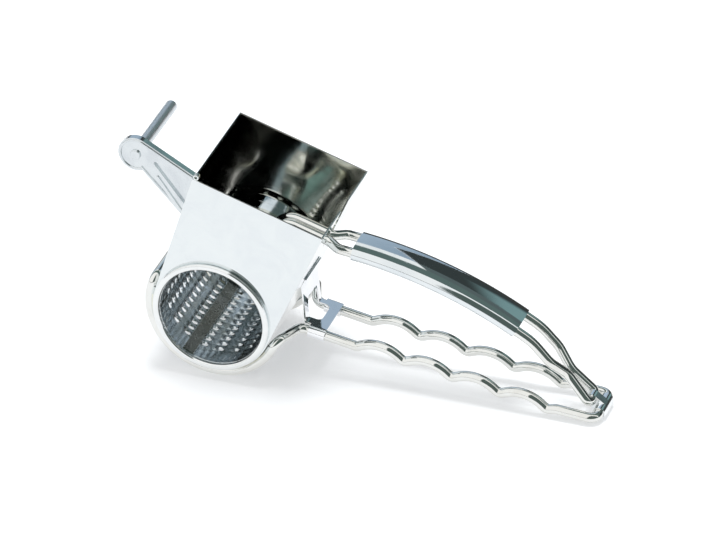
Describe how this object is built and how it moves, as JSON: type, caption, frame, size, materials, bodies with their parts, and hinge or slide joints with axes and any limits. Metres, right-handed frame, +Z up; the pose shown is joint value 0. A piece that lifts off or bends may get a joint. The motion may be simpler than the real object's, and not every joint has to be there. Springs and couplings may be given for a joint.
{
  "type": "grater",
  "caption": "Hand-held rotary drum grater: open sheet hopper on a bent wire frame, toothed drum with a crank, and a hinged pressing handle with a sheet grip.",
  "frame": {"origin": "On the table, under the middle of the whole grater's box, as it lies in use", "axes": "+X along the handles away from the hopper, +Y towards the crank, +Z up"},
  "size_m": [0.2442, 0.1098, 0.1049],
  "materials": {
    "hopper_sheet": "bright tinned sheet",
    "frame_wire": "bright plated wire",
    "grip_sheet": "bright plated sheet",
    "drum_sheet": "bright tinned sheet",
    "crank_sheet": "bright plated sheet",
    "small_steel": "plain steel"
  },
  "bodies": {
    "base": {"front_plate": "hopper_sheet", "back_plate": "hopper_sheet", "left_wall": "hopper_sheet", "right_wall": "hopper_sheet", "corner_tab": "hopper_sheet", "near_hoop": "frame_wire", "far_hoop": "frame_wire", "near_leg": "frame_wire", "far_leg": "frame_wire", "cross_bar": "frame_wire", "hinge_bar": "frame_wire", "leg_bracket": "hopper_sheet", "back_bush": "small_steel"},
    "press_handle": {"near_handle_rod": "frame_wire", "far_handle_rod": "frame_wire", "handle_end_bar": "frame_wire", "grip_plate": "grip_sheet", "presser_plate": "grip_sheet", "hinge_clip": "small_steel"},
    "drum": {"drum_shell": "drum_sheet", "drum_seam": "drum_sheet", "drum_rim": "drum_sheet", "drum_back": "drum_sheet", "drum_shaft": "small_steel", "crank_arm": "crank_sheet", "crank_washer": "small_steel", "crank_nut": "small_steel", "grip_pin": "small_steel"},
    "grip": {"crank_grip": "crank_sheet"}
  },
  "joints": [
    {"name": "handle_hinge", "type": "hinge", "parent": "base", "child": "press_handle", "pos_m": [0.11893, -0.0229, 0.00315], "axis": [0, 1, 0], "range_deg": [0, 110]},
    {"name": "drum_spin", "type": "hinge", "parent": "base", "child": "drum", "pos_m": [-0.0541, -0.02255, 0.03265], "axis": [0, 1, 0], "continuous": true},
    {"name": "grip_spin", "type": "hinge", "parent": "drum", "child": "grip", "pos_m": [-0.11358, 0.03145, 0.06841], "axis": [0, 1, 0], "continuous": true}
  ]
}
